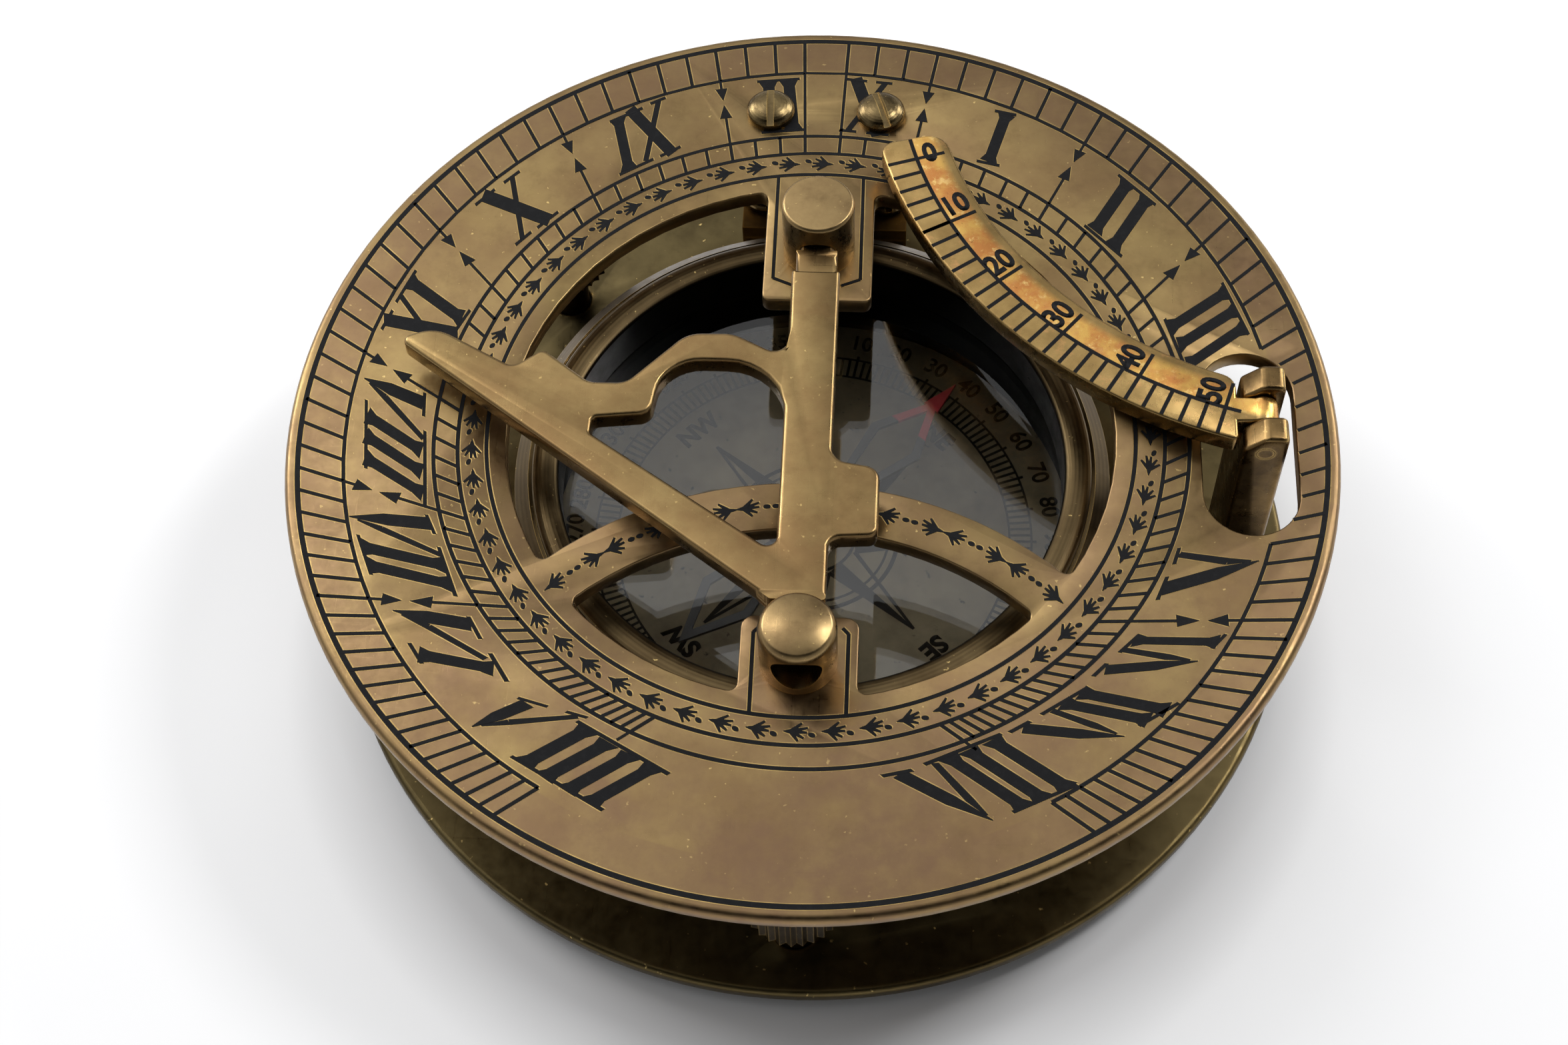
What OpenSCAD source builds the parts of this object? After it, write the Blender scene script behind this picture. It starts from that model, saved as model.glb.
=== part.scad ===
// Folding sundial compass: a pierced brass dial plate hinged over a base with a compass,
// a flat-folding gnomon, a latitude arc and three levelling screws.
// The origin is on the surface it stands on, below the middle of the dial. +Y is the XII side.

/* [Dial plate] */
// Radius of the dial plate
dial_r = 49.3; // [46:0.1:60]
// Thickness of the dial plate
dial_t = 1.8; // [1.4:0.1:2.4]
// Rounding of the dial plate's rim
dial_edge = 0.7; // [0.2:0.1:0.8]
// Radius of the pierced middle
opening_r = 28.5; // [24:0.1:32]
// Corner rounding in the pierced middle
pierced_fillet = 0.8; // [0.3:0.1:1.2]
// Width of the two tabs that carry the posts
tab_w = 10.6; // [9:0.1:13]
// Where the north tab ends
north_tab_end = 14.7; // [10:0.1:17]
// Where the south tab ends
south_tab_end = -20.2; // [-22:0.1:-17]
// Centre of the arch's curve, on the north-south line
arch_y = -41.6; // [-45:0.1:-38]
// Middle radius of the arch
arch_r = 33; // [30:0.1:36]
// Width of the arch's two arms
arch_w = 5; // [3:0.1:7]
// Width of the slot for the latitude arc
slot_w = 8.8; // [7.6:0.1:12]
// Length of the slot
slot_l = 20; // [15:0.1:26]
// Distance from the rim to the middle of the slot
slot_inset = 8.5; // [6.5:0.1:12]
// Offset of the slot to the south
slot_shift = -0.4; // [-2:0.1:2]

/* [Base and levels] */
// How much the dial stands out past the base
dial_overhang = 1.8; // [0:0.1:3]
// Thickness of the base plate
base_t = 1.8; // [1.5:0.1:3]
// Height of the base's underside over the surface
foot_h = 2; // [1:0.1:5]
// Space between the base and the dial plate
plate_gap = 20.4; // [20:0.1:28]

/* [Compass] */
// Outer radius of the compass bowl
bowl_r = 28.3; // [26:0.1:29.5]
// Height of the bowl without its bezel
bowl_h = 13.7; // [11.5:0.1:15]
// Wall of the bowl
bowl_wall = 2.2; // [1.6:0.1:3]
// Floor of the bowl
bowl_floor = 1.6; // [1.2:0.1:2.2]
// Height of the bezel over the bowl
bezel_h = 3; // [2.4:0.1:3.4]
// Radius of the bezel's sight hole
sight_r = 24.2; // [20:0.1:24.4]
// Thickness of the glass
glass_t = 1.2; // [0.8:0.1:1.6]
// Thickness of the card
card_t = 0.4; // [0.2:0.1:0.6]
// Reach of the needle's north end from the pivot
needle_reach = 21.6; // [16:0.1:23]
// Thickness of the needle
needle_t = 0.4; // [0.3:0.1:0.6]
// Height of the needle over the card
needle_lift = 3.2; // [2.6:0.1:4]
// Bearing of the needle, clockwise from XII
needle_bearing = 40.5; // [0:0.5:360]
// Radius of the pivot
pivot_r = 0.6; // [0.4:0.1:0.8]

/* [Gnomon and posts] */
// Latitude that the style is cut for
latitude = 53.5; // [45:0.5:58]
// Where the style's line meets the north-south line
style_root = -22.9; // [-26:0.1:-22]
// Thickness of the gnomon
gnomon_t = 2.2; // [1.4:0.1:2.6]
// Width of the gnomon's bar
bar_w = 4.6; // [3.6:0.1:6]
// Height of the gnomon's axis over the dial
gnomon_z = 3.3; // [3:0.1:4]
// Radius of the posts
post_r = 3.5; // [2.9:0.1:4.6]
// Height of the north post
north_post_h = 7.1; // [6:0.1:9]
// Height of the south post's straight part
south_post_h = 5.5; // [5.4:0.1:8]
// Place of the north post
north_post_y = 21.1; // [20:0.1:23]
// Place of the south post
south_post_y = -24.6; // [-25.5:0.1:-24]
// Radius of the gnomon's north journal
journal_r = 1.7; // [1.3:0.1:1.8]
// Radius of its south journal, which shows in the post's wide hole
south_journal_r = 2.2; // [1.5:0.1:2.3]
// Reach of the lug from the axis
lug_reach = 6.7; // [5:0.1:8]

/* [Latitude arc] */
// How far south of the dial's middle the arc's marked edge reaches
arc_reach = 3.8; // [2.5:0.1:5]
// Width of the arc
arc_w = 6.7; // [5:0.1:8]
// Thickness of the arc
arc_t = 2.2; // [1.4:0.1:2.6]
// Gap between the folded arc and the dial
arc_lift = 1; // [0.6:0.1:2]
// Angle of the arc's free end
arc_free_end = 194.3; // [188:0.1:205]
// Thickness of the arc's bracket along its radius
bracket_w = 4; // [3.4:0.1:4.6]
// Thickness of each ear
ear_t = 2.7; // [2:0.1:3.4]
// Width of the arc's tongue between the ears
tongue_w = 2.7; // [2:0.1:3.6]
// Place of the bracket along the slot
bracket_y = 1.2; // [-1:0.1:3]
// Offset of the bracket from the middle of the slot
bracket_offset = 1.1; // [0:0.1:1.6]
// Radius of the arc's pin
arc_pin_r = 0.8; // [0.6:0.05:0.9]

/* [Dial hinge] */
// Distance from the dial's rim to the hinge axis
hinge_inset = 5.7; // [5:0.1:7]
// Depth of the hinge axis under the dial's face
hinge_drop = 7.5; // [7.2:0.1:9]
// Radius of the knuckles
knuckle_r = 2; // [1.7:0.1:2.3]
// Half width of the hinge on the base
hinge_half = 8.5; // [8:0.1:11]
// Half width of the middle knuckle
middle_knuckle = 2.9; // [2:0.1:4]
// Radius of the hinge pin
hinge_pin_r = 1; // [0.8:0.05:1.2]

/* [Screws] */
// Radius of the round screw heads
head_r = 2.45; // [2:0.05:2.8]
// Height of the round screw heads
head_h = 1.6; // [1.2:0.1:1.8]
// Radius of their shanks
shank_r = 1.25; // [1:0.05:1.4]
// Half the distance between the two screws at XII
dial_screw_x = 5.6; // [5:0.1:6]
// Distance from the rim to the screws at XII
dial_screw_inset = 11; // [10.4:0.1:11.4]
// Radius of the hidden countersunk screws
sunk_r = 0.95; // [0.8:0.05:1.1]
// Radius of the levelling screws
level_r = 1.95; // [1.6:0.05:2.4]
// Distance from the base's rim to the levelling screws
level_inset = 6.5; // [6:0.1:7.5]
// Radius of the knurled heads
knurl_r = 4.7; // [4:0.1:5.2]
// Height of the knurled heads
knurl_h = 4.6; // [3:0.1:5.5]
// Teeth on each knurled head
knurl_teeth = 28; // [20:1:40]
// Gap between the collar of a levelling screw and the base
level_travel = 6; // [4:0.1:7]

/* [Clearances] */
// Radial clearance of pins and journals
fit = 0.05; // [0.02:0.01:0.1]
// Gap beside parts that turn past each other
side_gap = 0.15; // [0.1:0.05:0.3]
// Gap where a part rests by its weight
rest_gap = 0.3; // [0.2:0.05:0.4]

/* [Hidden] */
$fn = 96;
brass = [0.66, 0.52, 0.32];
worn_brass = [0.78, 0.64, 0.40];
dark_brass = [0.42, 0.34, 0.22];
copper_brass = [0.72, 0.50, 0.32];
steel = [0.16, 0.17, 0.19];
card_white = [0.80, 0.79, 0.74];

// Levels
base_top = foot_h + base_t;
dial_bottom = base_top + plate_gap;
dial_top = dial_bottom + dial_t;
base_r = dial_r - dial_overhang;
base_edge = 0.6;

// Compass levels
floor_top = base_top + bowl_floor;
card_top = floor_top + card_t;
bowl_top = base_top + bowl_h;
bowl_inner = bowl_r - bowl_wall;
ledge_drop = 3.2;
ledge_z = bowl_top - ledge_drop;
ledge_w = 1.2;
glass_top = ledge_z + glass_t;
bezel_top = bowl_top + bezel_h;
needle_z = card_top + needle_lift;
cap_r = 1.9;
cap_neck_r = 1.15;
cap_bore_top = needle_z + needle_t + 0.7;
pivot_tip = cap_bore_top - 0.2;
bowl_screw_ring = 18;
bowl_screw_cover = 0.4;
screw_end_gap = 0.2;

// Gnomon
axis_z = dial_top + gnomon_z;
bar_half = bar_w / 2;
gnomon_south = south_post_y + post_r + side_gap;
west_arm_end = gnomon_t / 2 + fit;
east_arm_end = sqrt(lug_reach * lug_reach + gnomon_t * gnomon_t / 4 - gnomon_z * gnomon_z) + 0.35;
north_shoulder = 15.2;
tongue_half = 1.95;

// Latitude arc and its bracket: the arc's centre is the dial's hinge, folded down about the pin
slot_x = dial_r - slot_inset;
bracket_x = slot_x + bracket_offset;
arc_z = dial_top + arc_lift;
arc_pin_z = arc_z + arc_t / 2;
hinge_y = dial_r - hinge_inset;
hinge_z = dial_top - hinge_drop;
arc_centre = [bracket_x + arc_pin_z - hinge_z, hinge_y];
arc_r = hinge_y + arc_reach;
arc_inner = arc_r - arc_w;
ear_rise = 2.3;
ear_slope = 1.9;
ear_corner = 0.4;
bracket_screw_y = 2.2;
bracket_screw_l = 5;
arc_band_end = bracket_x - bracket_w / 2 - 0.5;
bracket_half = ear_t + tongue_w / 2 + side_gap;
tongue_r = arc_t / 2 + 0.3;

// Dial hinge
leaf_t = 1.6;
leaf_top = hinge_z - knuckle_r - 0.4;
block_top = leaf_top - leaf_t;
block_front = hinge_y - 12.4;
block_back = hinge_y + 1.6;
block_screw_x = 4.5;
block_screw_inset = 4.6;
block_screw_l = 6;
flange_t = 2;
flange_bottom = dial_bottom - flange_t;
flange_front = hinge_y - 9.6;
ear_half = hinge_half - 1.1;
dial_screw_y = dial_r - dial_screw_inset;
leaf_screw_x = 6.2;
leaf_screw_y = block_front + 4.2;
dial_screw_l = dial_t + flange_t + 2.6;

// Levelling screws
level_ring = base_r - level_inset;
level_angles = [-90, 132, 48];
collar_h = 1.2;
head_z = base_top + level_travel;

function unit(v) = v / norm(v);

// The arc that rounds the corner b between a and c with radius r, or the corner itself
function corner(a, b, c, r, n) =
    r == 0 ? [[b.x, b.y]] :
    let (
        u = unit([a.x - b.x, a.y - b.y]),
        v = unit([c.x - b.x, c.y - b.y]),
        half = acos(u * v) / 2,
        p = [b.x, b.y] + u * r / tan(half),
        q = [b.x, b.y] + v * r / tan(half),
        mid = [b.x, b.y] + unit(u + v) * r / sin(half),
        start = atan2(p.y - mid.y, p.x - mid.x),
        stop = atan2(q.y - mid.y, q.x - mid.x),
        turn = (stop - start + 540) % 360 - 180
    )
    [for (i = [0:n]) mid + r * [cos(start + turn * i / n), sin(start + turn * i / n)]];

// A closed outline from corners [x, y, rounding]
function rounded(path, n = 5) = [
    for (i = [0:len(path) - 1])
        let (before = path[(i + len(path) - 1) % len(path)], after = path[(i + 1) % len(path)])
            each corner(before, path[i], after, path[i][2], n)
];

// Points along a circle between two angles, without its ends
function along(centre, r, from, to, n) = [
    for (i = [1:n - 1])
        [centre.x + r * cos(from + (to - from) * i / n), centre.y + r * sin(from + (to - from) * i / n), 0]
];

function mirrored(path) = [for (i = [len(path) - 1:-1:0]) [-path[i].x, path[i].y, path[i][2]]];

// Where an edge of the arch meets the pierced circle
function arch_meets(r) = (r * r - opening_r * opening_r - arch_y * arch_y) / (-2 * arch_y);
function across(y) = sqrt(opening_r * opening_r - y * y);

// A turned disc with a rounded rim
module rounded_disc(r, t, edge) {
    rotate_extrude()
        polygon(concat(
            [[0, 0]],
            [for (a = [-90:15:0]) [r - edge + edge * cos(a), edge + edge * sin(a)]],
            [for (a = [0:15:90]) [r - edge + edge * cos(a), t - edge + edge * sin(a)]],
            [[0, t]]
        ));
}

// A slotted screw with a round head, standing on the height z = 0
module round_screw(length, turn) {
    rotate([0, 0, turn])
        difference() {
            union() {
                rotate_extrude()
                    polygon(concat(
                        [[0, 0], [head_r, 0]],
                        [for (a = [0:9:90]) [head_r * cos(a), 0.4 + (head_h - 0.4) * sin(a)]]
                    ));
                translate([0, 0, -length])
                    cylinder(r = shank_r, h = length + 0.1);
            }
            translate([-0.35, -head_r - 1, head_h - 0.9])
                cube([0.7, 2 * head_r + 2, 2]);
        }
}

// A countersunk screw whose head is flush with the base's underside
module sunk_screw(length) {
    translate([0, 0, foot_h]) {
        cylinder(r1 = 2 * sunk_r, r2 = sunk_r, h = sunk_r);
        cylinder(r = sunk_r, h = length);
    }
}

module sunk_hole(length) {
    translate([0, 0, foot_h]) {
        cylinder(r1 = 2 * sunk_r + fit, r2 = sunk_r + fit, h = sunk_r);
        translate([0, 0, -1])
            cylinder(r = sunk_r + fit, h = length + 1 + fit);
        translate([0, 0, -1])
            cylinder(r = 2 * sunk_r + fit, h = 1);
    }
}

module at_bowl_screws() {
    for (a = [30:120:270])
        rotate([0, 0, a])
            translate([bowl_screw_ring, 0, 0])
                children();
}

module at_bracket_screws() {
    for (side = [-1, 1])
        translate([bracket_x, bracket_y + side * bracket_screw_y, 0])
            children();
}

module at_block_screws() {
    for (side = [-1, 1])
        translate([side * block_screw_x, hinge_y - block_screw_inset, 0])
            children();
}

module at_leaf_screws() {
    for (side = [-1, 1])
        translate([side * leaf_screw_x, leaf_screw_y, leaf_top])
            children();
}

module base_plate() {
    color(brass)
        difference() {
            translate([0, 0, foot_h])
                rounded_disc(base_r, base_t, base_edge);
            for (a = level_angles)
                rotate([0, 0, a])
                    translate([level_ring, 0, 0])
                        cylinder(r = level_r + fit, h = base_top + 1);
            at_bowl_screws()
                sunk_hole(base_t + 1);
            at_bracket_screws()
                sunk_hole(base_t + 1);
            at_block_screws()
                sunk_hole(base_t + 1);
        }
}

module compass_bowl() {
    color(worn_brass)
        difference() {
            translate([0, 0, base_top])
                rotate_extrude()
                    polygon([
                        [0, 0], [bowl_r + 0.5, 0], [bowl_r + 0.5, 0.9], [bowl_r, 1.4], [bowl_r, bowl_h],
                        [bowl_inner, bowl_h], [bowl_inner, bowl_h - ledge_drop],
                        [bowl_inner - ledge_w, bowl_h - ledge_drop],
                        [bowl_inner - ledge_w, bowl_h - ledge_drop - 0.8],
                        [bowl_inner, bowl_h - ledge_drop - 0.8 - ledge_w],
                        [bowl_inner, bowl_floor], [0, bowl_floor]
                    ]);
            at_bowl_screws()
                sunk_hole(base_t + bowl_floor - bowl_screw_cover + screw_end_gap / 2);
            translate([0, 0, base_top + 0.5])
                cylinder(r = pivot_r + fit, h = bowl_floor);
        }
}

module bowl_screws() {
    color(steel)
        at_bowl_screws()
            sunk_screw(base_t + bowl_floor - bowl_screw_cover);
}

module compass_card() {
    color(card_white)
        difference() {
            translate([0, 0, floor_top])
                cylinder(r = bowl_inner - side_gap, h = card_t);
            translate([0, 0, floor_top - 1])
                cylinder(r = pivot_r + fit, h = 3);
        }
}

module needle_pivot() {
    color(steel) {
        translate([0, 0, base_top + 0.6])
            cylinder(r = pivot_r, h = pivot_tip - 1 - base_top - 0.6);
        translate([0, 0, pivot_tip - 1])
            cylinder(r1 = pivot_r, r2 = 0.08, h = 1);
        translate([0, 0, card_top])
            cylinder(r = 1.5, h = 0.4);
    }
}

// One open kite of the needle, with its inner edge left out
module kite(long, wide, at, bar) {
    difference() {
        polygon([[0, 0], [wide, at], [0, long], [-wide, at]]);
        polygon([[0, 2.6 * bar], [wide - 1.3 * bar, at], [0, long - 2.4 * bar], [-wide + 1.3 * bar, at]]);
    }
}

module compass_needle() {
    bar = 0.75;
    color(steel)
        translate([0, 0, needle_z])
            rotate([0, 0, -needle_bearing])
                linear_extrude(needle_t)
                    difference() {
                        union() {
                            kite(0.88 * needle_reach, 3.2, 0.57 * needle_reach, bar);
                            rotate(180)
                                kite(0.88 * needle_reach, 3.2, 0.57 * needle_reach, bar);
                            polygon([
                                [-0.9, 0.82 * needle_reach], [0.9, 0.82 * needle_reach], [0, needle_reach]
                            ]);
                            circle(r = 2.1);
                        }
                        circle(r = cap_neck_r + fit);
                    }
}

module needle_cap() {
    lower = needle_z - 0.4;
    upper = needle_z + needle_t;
    color(worn_brass)
        difference() {
            rotate_extrude()
                polygon([
                    [0, lower], [1.7, lower], [cap_r, needle_z], [cap_neck_r, needle_z],
                    [cap_neck_r, upper], [cap_r, upper], [1.5, upper + 0.9], [0.6, upper + 1.5],
                    [0, upper + 1.5]
                ]);
            translate([0, 0, lower - 1])
                cylinder(r = pivot_r + fit, h = cap_bore_top - lower + 1);
        }
}

module compass_glass() {
    color([0.8, 0.85, 0.85, 0.35])
        translate([0, 0, ledge_z])
            cylinder(r = bowl_inner - side_gap, h = glass_t);
}

// The turned ring that holds the glass: a skirt inside the bowl, a bead and a sloping shoulder
module compass_bezel() {
    bead_r = (bowl_r - sight_r - 1.5) / 2;
    bead_x = sight_r + bead_r;
    groove_x = sight_r + 2 * bead_r;
    crest = bezel_top - 0.4 * bead_r;
    color(worn_brass)
        rotate_extrude()
            polygon(concat(
                [[sight_r, glass_top + 0.1], [bowl_inner - side_gap, glass_top + 0.1]],
                [[bowl_inner - side_gap, bowl_top], [bowl_r + 0.3, bowl_top]],
                [[bowl_r + 0.3, bowl_top + 0.35 * bezel_h], [groove_x + 0.35, bezel_top - 0.7]],
                [[groove_x + 0.35, bezel_top - 0.9], [groove_x, bezel_top - 0.9]],
                [for (a = [0:15:180]) [bead_x + bead_r * cos(a), crest + 0.4 * bead_r * sin(a)]]
            ));
}

module arc_bracket() {
    low = arc_pin_z - tongue_r - 0.9;
    half = bracket_w / 2;
    top = arc_pin_z + ear_rise;
    color(brass)
        difference() {
            translate([bracket_x, bracket_y + bracket_half, 0])
                rotate([90, 0, 0])
                    linear_extrude(2 * bracket_half)
                        polygon([
                            [-half, base_top],
                            [half, base_top],
                            [half, top - ear_corner],
                            [half - ear_corner, top],
                            [ear_slope - half, top],
                            [-half, top - ear_slope]
                        ]);
            translate([bracket_x - bracket_w, bracket_y - tongue_w / 2 - side_gap, low])
                cube([2 * bracket_w, tongue_w + 2 * side_gap, 20]);
            translate([bracket_x, bracket_y + bracket_half + 1, arc_pin_z])
                rotate([90, 0, 0])
                    cylinder(r = arc_pin_r + fit, h = 2 * bracket_half + 2);
            at_bracket_screws()
                sunk_hole(base_t + bracket_screw_l);
        }
}

module arc_bracket_screws() {
    color(steel)
        at_bracket_screws()
            sunk_screw(base_t + bracket_screw_l - screw_end_gap);
}

module arc_hinge_pin() {
    color(worn_brass)
        translate([bracket_x, bracket_y + bracket_half, arc_pin_z])
            rotate([90, 0, 0])
                cylinder(r = arc_pin_r, h = 2 * bracket_half);
}

// The folded arc: a band about the hinge's folded place, with a tongue between the bracket's ears
module latitude_arc() {
    outer_end = 360 - acos((arc_band_end - arc_centre.x) / arc_r);
    inner_end = 360 - acos((arc_band_end - arc_centre.x) / arc_inner);
    band = concat(
        [[arc_centre.x + arc_r * cos(arc_free_end), arc_centre.y + arc_r * sin(arc_free_end), 1.4]],
        along(arc_centre, arc_r, arc_free_end, outer_end, 22),
        [[arc_band_end, arc_centre.y + arc_r * sin(outer_end), 0.4]],
        [[arc_band_end, arc_centre.y + arc_inner * sin(inner_end), 1.6]],
        along(arc_centre, arc_inner, inner_end, arc_free_end, 18),
        [[arc_centre.x + arc_inner * cos(arc_free_end), arc_centre.y + arc_inner * sin(arc_free_end), 2.2]]
    );
    color(copper_brass)
        difference() {
            union() {
                translate([0, 0, arc_z])
                    linear_extrude(arc_t)
                        polygon(rounded(band));
                translate([arc_band_end - 1.5, bracket_y - tongue_w / 2, arc_z])
                    cube([bracket_x - arc_band_end + 1.5, tongue_w, arc_t]);
                translate([bracket_x, bracket_y + tongue_w / 2, arc_pin_z])
                    rotate([90, 0, 0])
                        cylinder(r = tongue_r, h = tongue_w);
            }
            translate([bracket_x, bracket_y + 10, arc_pin_z])
                rotate([90, 0, 0])
                    cylinder(r = arc_pin_r + fit, h = 20);
        }
}

module base_hinge_block() {
    color(dark_brass)
        difference() {
            translate([-hinge_half, block_front, base_top])
                cube([2 * hinge_half, block_back - block_front, block_top - base_top]);
            at_block_screws()
                sunk_hole(base_t + block_screw_l);
            at_leaf_screws()
                translate([0, 0, -leaf_t - 4])
                    cylinder(r = shank_r + fit, h = 10);
        }
}

module hinge_block_screws() {
    color(steel)
        at_block_screws()
            sunk_screw(base_t + block_screw_l - screw_end_gap);
}

// The lower leaf: a plate on the block, with the middle knuckle
module base_hinge_leaf() {
    color(brass)
        difference() {
            union() {
                translate([-hinge_half, block_front, block_top])
                    cube([2 * hinge_half, block_back - block_front, leaf_t]);
                translate([-middle_knuckle, hinge_y, hinge_z])
                    rotate([0, 90, 0])
                        cylinder(r = knuckle_r, h = 2 * middle_knuckle);
                translate([-middle_knuckle, hinge_y - knuckle_r, block_top])
                    cube([2 * middle_knuckle, knuckle_r + 1.6, hinge_z - block_top]);
            }
            at_leaf_screws()
                translate([0, 0, -leaf_t - 1])
                    cylinder(r = shank_r + fit, h = leaf_t + 2);
            translate([-10, hinge_y, hinge_z])
                rotate([0, 90, 0])
                    cylinder(r = hinge_pin_r + fit, h = 20);
        }
}

module base_leaf_screws() {
    color(worn_brass)
        at_leaf_screws()
            round_screw(leaf_t + 3.6, 12);
}

module dial_hinge_pin() {
    color(worn_brass)
        translate([-ear_half - 0.3, hinge_y, hinge_z])
            rotate([0, 90, 0])
                cylinder(r = hinge_pin_r, h = 2 * ear_half + 0.6);
}

// The upper leaf: a flange under the dial and two ears, whose heels rest over the lower leaf
module dial_hinge_leaf() {
    inner = middle_knuckle + side_gap;
    heel = leaf_top + rest_gap;
    cheek_l = 7.8;
    cheek_h = 3.6;
    color(brass)
        difference() {
            union() {
                translate([-ear_half, flange_front, flange_bottom])
                    cube([2 * ear_half, hinge_y + knuckle_r - flange_front, flange_t]);
                for (side = [0, 1])
                    mirror([side, 0, 0])
                        translate([inner, 0, 0])
                            rotate([90, 0, 90])
                                linear_extrude(ear_half - inner)
                                    union() {
                                        polygon([
                                            [hinge_y - cheek_l, flange_bottom],
                                            [hinge_y - cheek_l, flange_bottom - cheek_h],
                                            [hinge_y - 4.6, flange_bottom - cheek_h],
                                            [hinge_y - 3.4, heel],
                                            [hinge_y - 1.2, heel],
                                            [hinge_y, hinge_z],
                                            [hinge_y + knuckle_r, hinge_z],
                                            [hinge_y + knuckle_r, flange_bottom]
                                        ]);
                                        translate([hinge_y, hinge_z])
                                            circle(r = knuckle_r);
                                    }
            }
            for (side = [-1, 1])
                translate([side * dial_screw_x, dial_screw_y, flange_bottom - 3])
                    cylinder(r = shank_r + fit, h = flange_t + 4);
            translate([-10, hinge_y, hinge_z])
                rotate([0, 90, 0])
                    cylinder(r = hinge_pin_r + fit, h = 20);
        }
}

// The pierced middle: a circle less the two tabs and the two arms of the arch, as one outline.
// The lug swings down between the arms, and the end of the west arm stops it upright.
function pierced_half(gap) =
    let (
        centre = [0, arch_y],
        upper = arch_r + arch_w / 2,
        lower = arch_r - arch_w / 2,
        tab = tab_w / 2,
        upper_y = arch_meets(upper),
        lower_y = arch_meets(lower),
        tab_y = across(tab)
    )
    concat(
        [[tab, north_tab_end, pierced_fillet], [tab, tab_y, pierced_fillet]],
        along([0, 0], opening_r, acos(tab / opening_r), asin(upper_y / opening_r), 20),
        [[across(upper_y), upper_y, pierced_fillet]],
        along(centre, upper, acos(across(upper_y) / upper), acos(gap / upper), 10),
        [[gap, arch_y + sqrt(upper * upper - gap * gap), 0.3]],
        [[gap, arch_y + sqrt(lower * lower - gap * gap), 0.3]],
        along(centre, lower, acos(gap / lower), acos(across(lower_y) / lower), 10),
        [[across(lower_y), lower_y, pierced_fillet]],
        along([0, 0], opening_r, asin(lower_y / opening_r), -acos(tab / opening_r), 8),
        [[tab, -tab_y, pierced_fillet], [tab, south_tab_end, 1.5 * pierced_fillet]]
    );

module dial_plate() {
    color(brass)
        translate([0, 0, dial_bottom])
            difference() {
                rounded_disc(dial_r, dial_t, dial_edge);
                translate([0, 0, -1])
                    linear_extrude(dial_t + 2)
                        polygon(rounded(concat(
                            pierced_half(east_arm_end),
                            mirrored(pierced_half(west_arm_end))
                        )));
                translate([slot_x, slot_shift, -1]) {
                    for (side = [-1, 1])
                        translate([0, side * (slot_l - slot_w) / 2, 0])
                            cylinder(r = slot_w / 2, h = dial_t + 2);
                    translate([-slot_w / 2, (slot_w - slot_l) / 2, 0])
                        cube([slot_w, slot_l - slot_w, dial_t + 2]);
                }
                for (side = [-1, 1])
                    translate([side * dial_screw_x, dial_screw_y, -1])
                        cylinder(r = shank_r + fit, h = dial_t + 2);
                for (y = [north_post_y, south_post_y])
                    translate([0, y, -1])
                        cylinder(r = post_r / 2 + fit, h = dial_t + 2);
            }
}

module dial_screws() {
    color(worn_brass) {
        translate([-dial_screw_x, dial_screw_y, dial_top])
            round_screw(dial_screw_l, 2);
        translate([dial_screw_x, dial_screw_y, dial_top])
            round_screw(dial_screw_l, 18);
    }
}

// The tail of a post, riveted through its tab
module post_tail(y) {
    translate([0, y, dial_bottom])
        cylinder(r = post_r / 2, h = dial_t + 0.1);
    translate([0, y, dial_bottom - 0.4])
        cylinder(r1 = post_r / 2 + 0.3, r2 = post_r / 2 + 0.6, h = 0.4);
}

module north_post() {
    color(worn_brass)
        difference() {
            union() {
                translate([0, north_post_y, dial_top]) {
                    cylinder(r = post_r, h = north_post_h - 0.25);
                    translate([0, 0, north_post_h - 0.25])
                        cylinder(r1 = post_r, r2 = post_r - 0.25, h = 0.25);
                }
                post_tail(north_post_y);
            }
            translate([0, north_post_y + post_r / 3, axis_z])
                rotate([90, 0, 0])
                    cylinder(r = journal_r + fit, h = 2 * post_r);
        }
}

module south_post() {
    crown = 1.1;
    color(worn_brass)
        difference() {
            union() {
                translate([0, south_post_y, dial_top])
                    rotate_extrude()
                        polygon(concat(
                            [[0, 0], [post_r, 0]],
                            [for (a = [0:10:60])
                                [post_r - crown + crown * cos(a), south_post_h + crown * sin(a)]],
                            [[0, south_post_h + crown]]
                        ));
                post_tail(south_post_y);
            }
            translate([0, south_post_y + 2 * post_r, axis_z])
                rotate([90, 0, 0])
                    cylinder(r = south_journal_r + fit, h = 4 * post_r);
        }
}

// The outline of the gnomon lying flat to the west: bar, lug, style and the curved arm
function style_x(y) = -(y - style_root) * tan(latitude);
function style_y(x) = style_root - x / tan(latitude);

function gnomon_outline() = [
    [bar_half, north_shoulder, 0.3],
    [bar_half, -6.2, 1.6],
    [lug_reach, -6.9, 1.5],
    [lug_reach, -14.2, 0.9],
    [bar_half, -14.5, 1.2],
    [bar_half, gnomon_south, 0.3],
    [style_x(gnomon_south), gnomon_south, 0.3],
    [-39.2, style_y(-39.2), 0.7],
    [-35.6, 7.5, 3.6],
    [-27.9, 3.2, 1.2],
    [-25.2, 5.3, 0.9],
    [-20.6, 1.7, 2],
    [-17.2, 1.7, 2.2],
    [-11.8, 7.5, 3.2],
    [-7.5, 7.6, 3.2],
    [-bar_half, 4.9, 1.3],
    [-bar_half, north_shoulder, 0.3]
];

function gnomon_window() = [
    [-bar_half, -16.2, 0.9],
    [-bar_half, 4.4, 5.6],
    [-13.8, 4.4, 4.2],
    [-14.6, -1.7, 1.4],
    [-19.9, -2.3, 0.6],
    [-20, -4, 0.5]
];

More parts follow.
